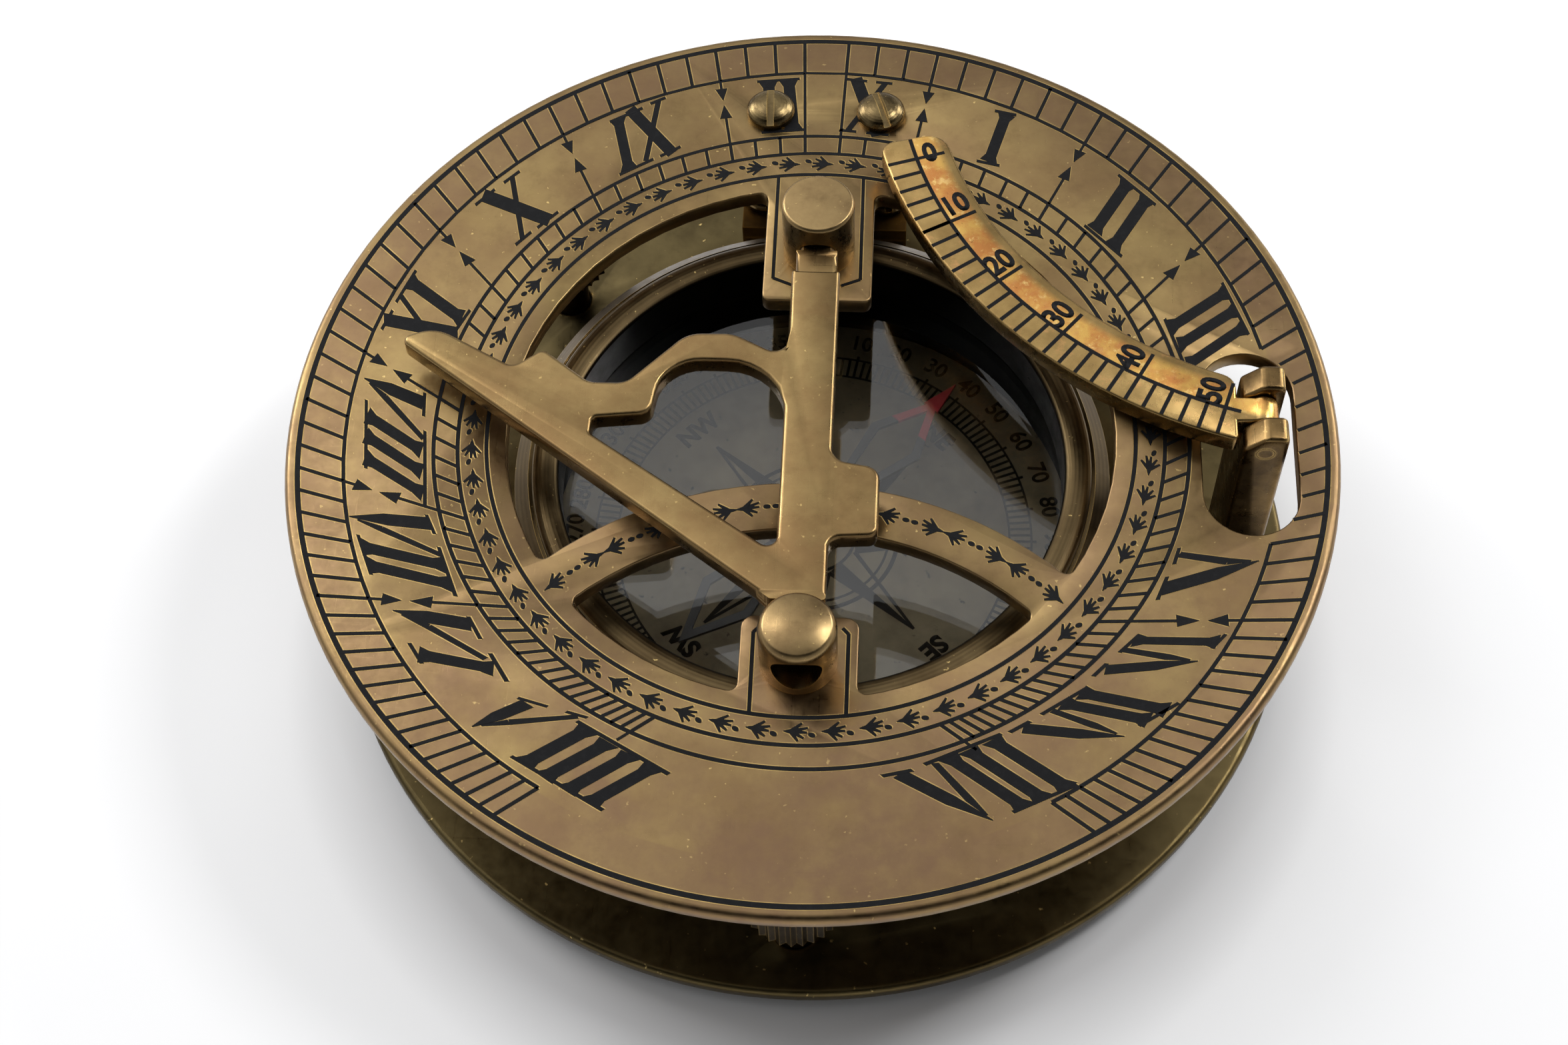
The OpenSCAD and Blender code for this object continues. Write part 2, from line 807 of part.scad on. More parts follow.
// A journal: the bar's end with its two edges turned round
module journal(r, from, to) {
    intersection() {
        translate([0, to, axis_z])
            rotate([90, 0, 0])
                cylinder(r = r, h = to - from);
        translate([-r - 1, from - 1, axis_z - gnomon_t / 2])
            cube([2 * r + 2, to - from + 2, gnomon_t]);
    }
}

module gnomon() {
    neck = north_post_y - post_r - side_gap;
    color(worn_brass) {
        translate([0, 0, axis_z - gnomon_t / 2])
            linear_extrude(gnomon_t)
                difference() {
                    polygon(rounded(gnomon_outline(), 6));
                    polygon(rounded(gnomon_window(), 8));
                }
        translate([-tongue_half, north_shoulder - 1, axis_z - gnomon_t / 2])
            cube([2 * tongue_half, neck - north_shoulder + 1, gnomon_t]);
        journal(journal_r, neck - 1, north_post_y - 0.4);
        journal(south_journal_r, south_post_y - 1.5, gnomon_south + 1);
    }
}

// A levelling screw: flat-ended stem, collar and coarse knurled head
module levelling_screw(a) {
    color(worn_brass)
        rotate([0, 0, a])
            translate([level_ring, 0, 0]) {
                cylinder(r1 = level_r - 0.4, r2 = level_r, h = 0.4);
                translate([0, 0, 0.4])
                    cylinder(r = level_r, h = head_z);
                translate([0, 0, head_z])
                    cylinder(r = knurl_r - 1, h = collar_h);
                translate([0, 0, head_z + collar_h])
                    linear_extrude(knurl_h)
                        polygon([
                            for (i = [0:2 * knurl_teeth - 1])
                                (i % 2 == 0 ? knurl_r : knurl_r - 0.4)
                                * [cos(180 * i / knurl_teeth), sin(180 * i / knurl_teeth)]
                        ]);
                translate([0, 0, head_z + collar_h + knurl_h])
                    cylinder(r1 = knurl_r - 0.6, r2 = knurl_r - 1.6, h = 0.5);
            }
}

base_plate();
compass_bowl();
bowl_screws();
compass_card();
needle_pivot();
compass_needle();
needle_cap();
compass_glass();
compass_bezel();
arc_bracket();
arc_bracket_screws();
arc_hinge_pin();
latitude_arc();
base_hinge_block();
hinge_block_screws();
base_hinge_leaf();
base_leaf_screws();
dial_hinge_pin();
dial_hinge_leaf();
dial_plate();
dial_screws();
north_post();
south_post();
gnomon();
levelling_screw(level_angles[0]);  // levelling_screw_south
levelling_screw(level_angles[1]);  // levelling_screw_northwest
levelling_screw(level_angles[2]);  // levelling_screw_northeast
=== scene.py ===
import math

import bmesh
import bpy
from mathutils import Matrix, Vector


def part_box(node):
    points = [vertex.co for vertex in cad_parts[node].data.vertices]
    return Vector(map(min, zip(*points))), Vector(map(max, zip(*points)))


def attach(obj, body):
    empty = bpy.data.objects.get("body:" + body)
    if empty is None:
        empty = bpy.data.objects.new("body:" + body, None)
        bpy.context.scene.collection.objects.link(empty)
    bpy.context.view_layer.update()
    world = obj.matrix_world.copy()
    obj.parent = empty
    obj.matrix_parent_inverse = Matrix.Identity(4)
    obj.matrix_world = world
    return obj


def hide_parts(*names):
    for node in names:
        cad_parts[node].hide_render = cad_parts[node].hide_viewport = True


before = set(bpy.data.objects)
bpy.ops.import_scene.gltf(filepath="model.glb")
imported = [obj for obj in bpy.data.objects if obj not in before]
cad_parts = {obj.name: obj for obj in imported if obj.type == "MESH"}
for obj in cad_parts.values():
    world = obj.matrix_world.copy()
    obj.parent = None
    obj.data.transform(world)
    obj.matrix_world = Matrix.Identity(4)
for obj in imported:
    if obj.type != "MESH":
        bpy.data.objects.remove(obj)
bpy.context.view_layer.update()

# Base plate: a round brass plate turned with a rolled rim and antiqued a dark olive brown.
# The compass bowl, the arc's bracket and the hinge block are screwed to it from below.
mm = 0.001


def rgb(red, green, blue):
    """A colour as it is seen, from 0 to 255, turned to the shader's linear values."""
    linear = [((c / 255 + 0.055) / 1.055) ** 2.4 if c > 10 else c / 255 / 12.92 for c in (red, green, blue)]
    return (*linear, 1)


class Finish:
    """A material under construction: most calls add a node and return its output."""

    def __init__(self, name, **shader):
        self.material = bpy.data.materials.new(name)
        self.material.use_nodes = True
        self.nodes = self.material.node_tree.nodes
        self.links = self.material.node_tree.links
        self.shader = self.nodes["Principled BSDF"]
        for socket, value in shader.items():
            self.shader.inputs[socket.replace("_", " ")].default_value = value
        self.place = self.nodes.new("ShaderNodeTexCoord").outputs["Object"]

    def plug(self, node, inputs):
        """Fills a node's inputs: another node's output is linked, and anything else is a plain value."""
        for socket, value in inputs.items():
            if isinstance(value, bpy.types.NodeSocket):
                self.links.new(value, node.inputs[socket])
            else:
                node.inputs[socket].default_value = value

    def turned(self, scale=(1, 1, 1), turn=0.0):
        """The piece's coordinates, scaled along each axis and turned about the vertical by degrees."""
        node = self.nodes.new("ShaderNodeMapping")
        self.plug(node, {"Vector": self.place, "Scale": scale, "Rotation": (0, 0, math.radians(turn))})
        return node.outputs["Vector"]

    def noise(self, size, detail=4, rough=0.6, vector=None):
        """Cloudy noise with grains of about this size in millimetres."""
        node = self.nodes.new("ShaderNodeTexNoise")
        self.plug(node, {"Vector": vector or self.place, "Scale": 1 / (size * mm), "Detail": detail,
                         "Roughness": rough})
        return node.outputs["Fac"]

    def between(self, value, low, high, to_low=0.0, to_high=1.0):
        """Goes from to_low to to_high while the value goes from low to high, and stays there past them."""
        node = self.nodes.new("ShaderNodeMapRange")
        self.plug(node, {"Value": value, "From Min": low, "From Max": high, "To Min": to_low,
                         "To Max": to_high})
        return node.outputs["Result"]

    def distance(self, vector, centre=(0, 0, 0)):
        """How far a place lies from the centre, in metres."""
        node = self.nodes.new("ShaderNodeVectorMath")
        node.operation = "DISTANCE"
        self.plug(node, {0: vector, 1: centre})
        return node.outputs["Value"]

    def northward(self, vector):
        """How far north of the middle a place lies, in metres."""
        node = self.nodes.new("ShaderNodeSeparateXYZ")
        self.plug(node, {0: vector})
        return node.outputs["Y"]

    def maths(self, operation, first, second):
        node = self.nodes.new("ShaderNodeMath")
        node.operation = operation
        self.plug(node, {0: first, 1: second})
        return node.outputs["Value"]

    def times(self, first, second):
        return self.maths("MULTIPLY", first, second)

    def plus(self, first, second):
        return self.maths("ADD", first, second)

    def larger(self, first, second):
        return self.maths("MAXIMUM", first, second)

    def blend(self, factor, first, second):
        """The first colour where the factor is nought, the second where it is one."""
        node = self.nodes.new("ShaderNodeMix")
        node.data_type = "RGBA"
        self.plug(node, {0: factor, 6: first, 7: second})
        return node.outputs[2]

    def edges(self, radius):
        """One on an edge that hands rub bright, nought on a flat face."""
        bevel = self.nodes.new("ShaderNodeBevel")
        bevel.samples = 4
        self.plug(bevel, {"Radius": radius * mm})
        face = self.nodes.new("ShaderNodeNewGeometry")
        alike = self.nodes.new("ShaderNodeVectorMath")
        alike.operation = "DOT_PRODUCT"
        self.plug(alike, {0: bevel.outputs["Normal"], 1: face.outputs["Normal"]})
        return self.between(alike.outputs["Value"], 0.97, 0.72)

    def bump(self, height, strength, depth):
        """Lets the height stand out of the surface, by this depth in millimetres at full strength."""
        node = self.nodes.new("ShaderNodeBump")
        self.plug(node, {"Height": height, "Strength": strength, "Distance": depth * mm})
        self.plug(self.shader, {"Normal": node.outputs["Normal"]})


rubbed_gold = rgb(206, 172, 106)
bright_fleck = rgb(226, 196, 128)


def aged_brass(name, patina, worn, dark, gloss, wear, grain, turning=False, stain=None, dirt=1.0):
    """Brass that was darkened and rubbed back: clouds of patina, rubbed edges, hairlines and small pits.
    Gloss is the roughness that it varies about, wear the width of its rubbed edges in millimetres, and
    grain the size of its clouds and spots. Turning adds the rings that a lathe leaves.
    A stain is a colour, the inner and outer radius of the band that it tints, and how far it covers.
    One that covers less than fully also lies in patches, more of them to the south."""
    brass = Finish(name, Metallic=1.0)
    clouds = brass.between(brass.noise(9 * grain, 5, 0.62), 0.38, 0.66)
    stains = brass.between(brass.noise(3.1 * grain, 6, 0.7), 0.52, 0.78)
    grime = brass.between(brass.noise(1.1 * grain, 5, 0.75), 0.58, 0.86)
    flecks = brass.between(brass.noise(0.55 * grain, 2, 0.5), 0.71, 0.77)
    colour = brass.blend(clouds, patina, worn)
    colour = brass.blend(brass.times(stains, 0.4 * dirt), colour, dark)
    colour = brass.blend(brass.times(grime, 0.35 * dirt), colour, dark)
    colour = brass.blend(brass.times(flecks, 0.8), colour, bright_fleck)
    if turning:
        rings = brass.nodes.new("ShaderNodeTexWave")
        rings.wave_type = "RINGS"
        rings.rings_direction = "Z"
        brass.plug(rings, {"Vector": brass.place, "Scale": 1 / (1.3 * mm), "Distortion": 0.3, "Detail": 1.0})
        colour = brass.blend(brass.times(rings.outputs["Fac"], 0.3), colour, dark)
    rubbing = brass.between(brass.noise(2.2, 4, 0.7), 0.3, 0.6, 0.45, 1.0)
    colour = brass.blend(brass.times(brass.edges(wear), rubbing), colour, rubbed_gold)
    if stain:
        tint, (inner, outer), cover = stain
        radius = brass.distance(brass.turned((1, 1, 0)))
        band = brass.times(brass.between(radius, (inner + 0.1) * mm, (inner + 0.5) * mm),
                           brass.between(radius, (outer - 0.1) * mm, (outer - 0.5) * mm))
        if cover < 1:
            southern = brass.between(brass.northward(brass.place), 20 * mm, -45 * mm, 0.3, 0.85)
            patches = brass.times(brass.between(brass.noise(14, 5, 0.6), 0.33, 0.57), southern)
            uneven = brass.between(brass.noise(2.4, 4, 0.7), 0.25, 0.6, 0.55, 0.95)
            band = brass.times(brass.larger(patches, brass.times(band, cover)), uneven)
        colour = brass.blend(band, colour, tint)
    hairs = brass.noise(0.25, 3, 0.6, brass.turned((1, 0.03, 1), 31))
    crossing = brass.noise(0.3, 3, 0.6, brass.turned((0.03, 1, 1), -17))
    scratches = brass.plus(brass.between(hairs, 0.6, 0.72), brass.between(crossing, 0.62, 0.74))
    rough = brass.plus(brass.between(brass.noise(1.8, 5, 0.7), 0.3, 0.7, gloss - 0.07, gloss + 0.09),
                       brass.times(scratches, -0.06))
    rough = brass.plus(rough, brass.times(grime, 0.1))
    brass.plug(brass.shader, {"Base Color": colour, "Roughness": rough})
    height = brass.plus(brass.times(scratches, -0.35), brass.noise(0.4, 4, 0.65))
    if turning:
        height = brass.plus(brass.times(height, 0.25), brass.times(rings.outputs["Fac"], 0.6))
    brass.bump(height, 0.25, 0.012)
    return brass.material


def finish_nodes(material, *names):
    """Gives these solids the material in place of the plain colour that they come with."""
    for name in names:
        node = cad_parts[name]
        node.data.materials.clear()
        node.data.materials.append(material)


def softened(name, material, body, radius, steps=3, chosen=None, ends=()):
    """A copy of a CAD solid whose sharp edges are rounded over, as filing and handling leave them.
    Chosen tells by an edge's middle, in millimetres, whether that edge is one of them. Edges are cut
    at the ends, which are places along Y, so that a rounding can stop there."""
    shape = bmesh.new()
    shape.from_mesh(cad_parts[name].data)
    bmesh.ops.remove_doubles(shape, verts=shape.verts, dist=0.04 * mm)
    bmesh.ops.dissolve_limit(shape, angle_limit=math.radians(0.6), verts=shape.verts, edges=shape.edges)
    for end in ends:
        bmesh.ops.bisect_plane(shape, geom=shape.verts[:] + shape.edges[:] + shape.faces[:], dist=0.001 * mm,
                               plane_co=(0, end * mm, 0), plane_no=(0, 1, 0))
    sharp = math.radians(35)
    weight = shape.edges.layers.float.new("bevel_weight_edge")
    for edge in shape.edges:
        if edge.calc_face_angle(0.0) > sharp:
            middle = (edge.verts[0].co + edge.verts[1].co) / (2 * mm)
            edge.smooth = chosen is None or chosen(middle)
            edge[weight] = 1.0 if edge.smooth else 0.0
    mesh = bpy.data.meshes.new(name + "_finished")
    shape.to_mesh(mesh)
    shape.free()
    mesh.materials.clear()
    mesh.materials.append(material)
    mesh.shade_smooth()
    piece = bpy.data.objects.new(name + "_finished", mesh)
    bpy.context.collection.objects.link(piece)
    rounding = piece.modifiers.new("rounding", "BEVEL")
    rounding.width = radius * mm
    rounding.segments = steps
    rounding.limit_method = "WEIGHT"
    rounding.use_clamp_overlap = False
    rounding.harden_normals = True
    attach(piece, body)
    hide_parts(name)


# Its rubbed edges are the widest of all the brass: worn, and partly a painted highlight along the rim.
olive_brass = aged_brass("olive_brass", rgb(74, 64, 42), rgb(98, 86, 57), rgb(40, 32, 20), 0.36, 1.0, 1.4)
softened("base_plate", olive_brass, "base", 0.3)

# Levelling screws: three turned brass screws with coarse knurled heads, threaded through the
# base plate. Their flat ends are the feet.
# Their brass is darker than the other turned parts: partly their own colour, partly a painted shade under
# the dial.
foot_brass = aged_brass("foot_brass", rgb(60, 49, 32), rgb(88, 72, 47), rgb(30, 24, 16), 0.34, 0.25, 0.7)
finish_nodes(foot_brass, "levelling_screw_south", "levelling_screw_northwest", "levelling_screw_northeast")

# Compass bowl: a turned brass cup with a foot flange, held by three steel screws from below.
# Its inside is black.
bowl_inside = 27.2
inside_black = rgb(14, 12, 10)
from_middle = -1
bowl_brass = aged_brass("bowl_brass", rgb(104, 86, 56), rgb(136, 114, 74), rgb(60, 46, 30), 0.38, 0.3, 1.0,
                        turning=True, stain=(inside_black, (from_middle, bowl_inside), 1.0))
finish_nodes(bowl_brass, "compass_bowl")
blued_steel = aged_brass("blued_steel", rgb(92, 92, 96), rgb(128, 128, 130), rgb(46, 44, 44), 0.35, 0.2, 0.5)
finish_nodes(blued_steel, "bowl_screws", "needle_pivot")

# Compass card: a printed disc that lies on the bowl's floor. Its print is a degree ring,
# numbers every ten degrees, the eight winds and a rose with a small crescent at its east point.
card = Finish("card_print_ground", Roughness=0.62)
card_stain = card.between(card.noise(5, 5, 0.65), 0.4, 0.72)
card_spots = card.between(card.noise(1.2, 3), 0.66, 0.74)
card_colour = card.blend(card_stain, rgb(134, 121, 93), rgb(102, 89, 66))
card.plug(card.shader, {"Base Color": card.blend(card_spots, card_colour, rgb(58, 50, 36))})
finish_nodes(card.material, "compass_card")

ink = Finish("black_print", Roughness=0.6, Specular_IOR_Level=0.18)
ink_wear = ink.between(ink.noise(0.6, 3), 0.5, 0.7)
ink.plug(ink.shader, {"Base Color": ink.blend(ink_wear, rgb(8, 8, 11), rgb(18, 18, 20))})


def print_level(bm):
    """A height for the next mark, so that marks which cross don't lie in one plane."""
    return 0.002 * (len(bm.faces) % 9)


def as_drawn(x, y):
    return x, y


def stroke(bm, start, end, width, end_width=None, place=as_drawn):
    """A straight mark from start to end, which may taper, laid out by place in the plane of the face."""
    start, end = Vector(start), Vector(end)
    along = end - start
    aside = Vector((-along.y, along.x)).normalized()
    if end_width is None:
        end_width = width
    level = print_level(bm)
    for vert in bmesh.ops.create_grid(bm, x_segments=1, y_segments=1, size=0.5)["verts"]:
        part = vert.co.x + 0.5
        point = start + along * part + aside * vert.co.y * (width + (end_width - width) * part)
        vert.co = (*place(point.x, point.y), level)


def ring(bm, radius, width, start=0.0, stop=360.0, centre=(0, 0)):
    """A line along a circle, from one angle to another by the right-hand rule from +X. Its steps are
    about 0.7 mm long, which is 40 degrees of a circle with a radius of 1 mm."""
    angle = math.radians(start)
    level = print_level(bm)
    ends = [bm.verts.new((centre[0] + r * math.cos(angle), centre[1] + r * math.sin(angle), level))
            for r in (radius - width / 2, radius + width / 2)]
    edge = bm.edges.new(ends)
    degrees_at_1_mm = 40
    steps = max(2, round(abs(stop - start) * radius / degrees_at_1_mm))
    whole = abs(stop - start) >= 360
    bmesh.ops.spin(bm, geom=ends + [edge], cent=(*centre, 0), axis=(0, 0, 1),
                   angle=math.radians(stop - start), steps=steps, use_merge=whole)


def letters(bm, text, size, place, squeeze, bold):
    """Plain figures or letters, centred on the origin before place lays them out."""
    curve = bpy.data.curves.new("letters", "FONT")
    curve.body = text
    curve.size = size
    curve.offset = bold
    curve.align_x = "CENTER"
    curve.align_y = "CENTER"
    curve.resolution_u = 4
    holder = bpy.data.objects.new("letters", curve)
    mesh = bpy.data.meshes.new_from_object(holder)
    level = print_level(bm)
    for vertex in mesh.vertices:
        vertex.co = (*place(vertex.co.x * squeeze, vertex.co.y), level)
    bm.from_mesh(mesh)
    bpy.data.meshes.remove(mesh)
    bpy.data.objects.remove(holder)
    bpy.data.curves.remove(curve)


def lay_marks(bm, name, height, material, body, shift=(0, 0), thick=0.03, stacked=True):
    """Makes flat marks, drawn in millimetres, a thin closed inlay at this height that rides on a body.
    Stacked marks keep the heights that they were drawn at, and others keep an eighth of them."""
    bmesh.ops.scale(bm, verts=bm.verts, vec=(mm, mm, mm if stacked else mm / 8))
    bmesh.ops.translate(bm, verts=bm.verts, vec=(shift[0] * mm, shift[1] * mm, height))
    bm.normal_update()
    for face in bm.faces:
        if face.normal.z < 0:
            face.normal_flip()
    mesh = bpy.data.meshes.new(name)
    bm.to_mesh(mesh)
    bm.free()
    piece = bpy.data.objects.new(name, mesh)
    bpy.context.collection.objects.link(piece)
    mesh.materials.append(material)
    solid = piece.modifiers.new("thickness", "SOLIDIFY")
    solid.thickness = thick * mm
    solid.offset = 0
    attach(piece, body)


def bearing(x, y, degrees):
    """Turns a point clockwise about the middle."""
    a = math.radians(degrees)
    return x * math.cos(a) + y * math.sin(a), -x * math.sin(a) + y * math.cos(a)


def outward(degrees, start=0.0):
    """Lays a mark out along a bearing: x clockwise of it, y outwards from this far out."""
    return lambda x, y: bearing(x, y + start, degrees)


card_print = bmesh.new()
degree_rings = (19.7, 21.9)
for radius in degree_rings:
    ring(card_print, radius, 0.22)
for radius, width in ((8.5, 0.42), (7.6, 0.26), (4.2, 0.32)):
    ring(card_print, radius, width)
for degrees in range(0, 360, 2):
    tick_end = 22.4 if degrees % 10 == 0 else degree_rings[1]
    stroke(card_print, (0, degree_rings[0]), (0, tick_end), 0.27, place=outward(degrees))
card_numbers = 24.0
for degrees in range(0, 360, 10):
    letters(card_print, str(degrees), 2.5, outward(degrees, card_numbers), 0.95, 0.05)
card_winds = 17.4
rose_corner = bearing(0, 4.6, 22.5)
for index, wind in enumerate(("N", "NE", "E", "SE", "S", "SW", "W", "NW")):
    turn = 45 * index
    size, reach = (3.2, 15.7) if index % 2 == 0 else (2.7, 14.6)
    letters(card_print, wind, size, outward(turn, card_winds), 0.95, 0.12)
    for side in (-1, 1):
        stroke(card_print, (side * rose_corner[0], rose_corner[1]), (0, reach), 0.42, 0.28, outward(turn))
    for shade_line in range(4):
        foot = (rose_corner[0] * (0.15 + 0.2 * shade_line), rose_corner[1])
        stroke(card_print, foot, (0, reach), 0.4, 0.12, outward(turn))
crescent_middle = (10.6, 0)
for radius in (2.3, 1.8):
    ring(card_print, radius, 0.3, 60, 240, crescent_middle)
card_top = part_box("compass_card")[1][2]
lay_marks(card_print, "card_printing", card_top, ink.material, "base")

# Needle: an open strap needle of black painted steel whose north end is red, on a small
# turned cap that sits over the pivot's point.
needle_bearing = 40.5
red_from = 14.3
needle = Finish("needle_enamel", Roughness=0.38)
along_needle = needle.northward(needle.turned(turn=needle_bearing))
north_end = needle.between(along_needle, (red_from - 0.1) * mm, (red_from + 0.1) * mm)
needle.plug(needle.shader, {"Base Color": needle.blend(north_end, rgb(28, 29, 33), rgb(188, 42, 52))})
finish_nodes(needle.material, "compass_needle")
turned_brass = aged_brass("turned_brass", rgb(126, 104, 68), rgb(158, 134, 90), rgb(72, 54, 34), 0.33, 0.25,
                          0.7)
finish_nodes(turned_brass, "needle_cap")

# Glass: a clear disc cut from flat glass. It lies on the bowl's ledge, and the bezel's skirt
# holds it down.
glass = Finish("clear_glass", Roughness=0.0, Transmission_Weight=1.0, IOR=1.5, Specular_IOR_Level=0.12)
glass.plug(glass.shader, {"Base Color": (0.97, 0.97, 0.95, 1)})
finish_nodes(glass.material, "compass_glass")

# Bezel: the turned ring that holds the glass. Its bead and shoulder show fine turning marks, and
# it is black inside like the bowl.
bezel_bore = 24.75
bezel_brass = aged_brass("bezel_brass", rgb(86, 71, 48), rgb(112, 95, 66), rgb(54, 43, 29), 0.36, 0.12, 0.8,
                         turning=True, stain=(inside_black, (from_middle, bezel_bore), 1.0), dirt=0.3)
finish_nodes(bezel_brass, "compass_bezel")

# Arc bracket: a filed brass block with two ears, and the pin that the arc turns on.
# Two countersunk steel screws hold it to the base plate from below.
bracket_brass = aged_brass("bracket_brass", rgb(92, 73, 47), rgb(136, 110, 70), rgb(44, 33, 22), 0.3, 0.5,
                           0.6)
arc_axis = (41.9, 28.1)
pin_bore = 1.3


def off_the_pin(middle):
    """Leaves the rims of the bores for the pin as they are."""
    return math.hypot(middle.x - arc_axis[0], middle.z - arc_axis[1]) > pin_bore


softened("arc_bracket", bracket_brass, "base", 0.4, 3, off_the_pin)
finish_nodes(bracket_brass, "arc_hinge_pin")
finish_nodes(blued_steel, "arc_bracket_screws")

# Latitude arc: a flat curved brass bar, coppery where its numbers are, with ticks every two
# degrees, a line between ticks and numbers, and the degrees from 0 to 50.
arc_centre = (51.5, 43.6)
arc_tick_edge = 47.4
arc_inner_edge = 40.7
arc_divider = 44.3
arc_numbers = 42.85
arc_zero = 197.9
arc_spread = 1.096
arc_top = 29.2 * mm

arc_brass = Finish("coppery_brass", Metallic=1.0)
arc_radius = arc_brass.distance(arc_brass.turned((1, 1, 0)), (arc_centre[0] * mm, arc_centre[1] * mm, 0))
number_band = arc_brass.times(
    arc_brass.between(arc_radius, (arc_divider + 0.2) * mm, (arc_divider - 0.3) * mm),
    arc_brass.between(arc_radius, (arc_inner_edge + 0.7) * mm, (arc_inner_edge + 1.5) * mm))
copper_clouds = arc_brass.between(arc_brass.noise(3.4, 5, 0.65), 0.42, 0.6)
# The pale flecks in the number band are painted glints of light.
painted_glints = arc_brass.between(arc_brass.noise(1.1, 4, 0.7), 0.56, 0.68, 0, 0.85)
copper_pits = arc_brass.between(arc_brass.noise(0.7, 4, 0.7, arc_brass.turned(turn=40)), 0.64, 0.74, 0, 0.7)
copper = arc_brass.blend(copper_clouds, rgb(226, 180, 98), rgb(204, 138, 78))
copper = arc_brass.blend(painted_glints, copper, rgb(252, 214, 136))
copper = arc_brass.blend(copper_pits, copper, rgb(96, 58, 34))
arc_clouds = arc_brass.between(arc_brass.noise(5, 5, 0.6), 0.35, 0.7)
ruddy_spots = arc_brass.between(arc_brass.noise(1.6, 5, 0.7), 0.56, 0.72, 0, 0.6)
rubbed_edges = arc_brass.times(arc_brass.edges(0.35), 0.6)
arc_colour = arc_brass.blend(arc_clouds, rgb(180, 150, 96), rgb(134, 108, 66))
arc_colour = arc_brass.blend(number_band, arc_colour, copper)
arc_colour = arc_brass.blend(ruddy_spots, arc_colour, rgb(214, 160, 106))
arc_colour = arc_brass.blend(rubbed_edges, arc_colour, rubbed_gold)
arc_rough = arc_brass.between(arc_brass.noise(1.5, 5), 0.3, 0.7, 0.2, 0.34)
arc_brass.plug(arc_brass.shader, {"Base Color": arc_colour, "Roughness": arc_rough})
arc_brass.bump(arc_brass.noise(0.7, 5, 0.7), 0.3, 0.02)
softened("latitude_arc", arc_brass.material, "arc", 0.28, 3, off_the_pin)


def on_arc(angle, radius, across=0.0, up=0.0):
    """A point on the arc: across runs from the tick edge to the inner edge, up towards the free end."""
    a = math.radians(angle)
    return (arc_centre[0] + (radius - across) * math.cos(a) + up * math.sin(a),
            arc_centre[1] + (radius - across) * math.sin(a) - up * math.cos(a))


arc_marks = bmesh.new()
ring(arc_marks, arc_divider, 0.38, 194.6, 254.6, arc_centre)
for latitude in range(0, 51, 2):
    angle = arc_zero + latitude * arc_spread
    stroke(arc_marks, on_arc(angle, arc_tick_edge - 0.15), on_arc(angle, arc_divider), 0.38)
for latitude in range(0, 51, 10):
    angle = arc_zero + latitude * arc_spread
    stroke(arc_marks, on_arc(angle, arc_tick_edge - 0.15), on_arc(angle, arc_inner_edge + 0.75), 0.36)
    lift = 0.35 if latitude == 0 else 1.6
    letters(arc_marks, str(latitude), 3.2, lambda x, y, a=angle, up=lift: on_arc(a, arc_numbers, x, y + up),
            0.85, 0.12)
lay_marks(arc_marks, "arc_markings", arc_top, ink.material, "arc")

# Hinge block and leaves: a plain brass block screwed to the base, a leaf on it with the middle
# knuckle, the pin, and the upper leaf that is screwed to the dial.
finish_nodes(olive_brass, "base_hinge_block")
hinge_brass = aged_brass("hinge_brass", rgb(118, 98, 64), rgb(152, 128, 82), rgb(64, 50, 32), 0.36, 0.3, 0.7)
finish_nodes(hinge_brass, "base_hinge_leaf", "dial_hinge_leaf")
finish_nodes(blued_steel, "hinge_block_screws")
screw_brass = aged_brass("screw_brass", rgb(104, 88, 60), rgb(146, 126, 86), rgb(52, 40, 28), 0.26, 0.2, 0.4)
finish_nodes(screw_brass, "base_leaf_screws", "dial_hinge_pin", "dial_screws")

# Dial plate: a pierced brass plate, etched and filled with black. Golden edges along its marks are
# a painted highlight on the lit groove walls. The hour lines spread evenly from a point near the south post.
rim_line = 48.0
hour_ring = 43.72
inner_rings = (35.31, 33.05)
leaf_ring = 30.35
dial_brass = aged_brass("dial_brass", rgb(136, 112, 75), rgb(155, 132, 87), rgb(94, 74, 50), 0.35, 0.28, 1.0,
                        stain=(rgb(121, 95, 75), (hour_ring, rim_line), 0.65))
softened("dial_plate", dial_brass, "dial", 0.16, 2)
west, east = -1, 1
line_root = (-0.44, -21.06)
noon_half_angle = 2.275
tick_angle = 2.5905
ticks_an_hour = 6
last_tick = ticks_an_hour * 8
slot_middle = (40.8, -0.4)
slot_radius = 4.4
slot_straight = 5.6
slot_margin = 0.2


def hour_point(tick, side, radius):
    """Where the line of a ten-minute tick crosses a circle about the dial's middle."""
    angle = math.radians(noon_half_angle + tick_angle * tick)
    dx, dy = math.sin(angle), math.cos(angle)
    b = line_root[0] * dx + line_root[1] * dy
    reach = -b + math.sqrt(b * b - line_root[0] ** 2 - line_root[1] ** 2 + radius * radius)
    return Vector((side * (line_root[0] + reach * dx), line_root[1] + reach * dy))


def slot_distance(point):
    """How far a point lies outside the arc's slot, which has straight sides and round ends."""
    straight = max(abs(point[1] - slot_middle[1]) - slot_straight, 0)
    return math.hypot(point[0] - slot_middle[0], straight) - slot_radius


def hour_line(bm, tick, side, outer, inner, width):
    """A tick between two circles, stopped at the edge of the arc's slot to the nearest 0.05 mm."""
    end = outer
    while end > inner and slot_distance(hour_point(tick, side, end)) > slot_margin:
        end -= 0.05
    if end < outer:
        stroke(bm, hour_point(tick, side, outer), hour_point(tick, side, max(end, inner)), width)


def on_hour(hour, side):
    """Lays a figure out on an hour line: x anticlockwise along the circle, y inwards from the hour ring."""

    def place(x, y):
        radius = hour_ring - y
        point = hour_point(ticks_an_hour * hour, side, radius)
        return bearing(point.x, point.y, -math.degrees(x / radius))

    return place


serif = 0.33
thin = 0.6


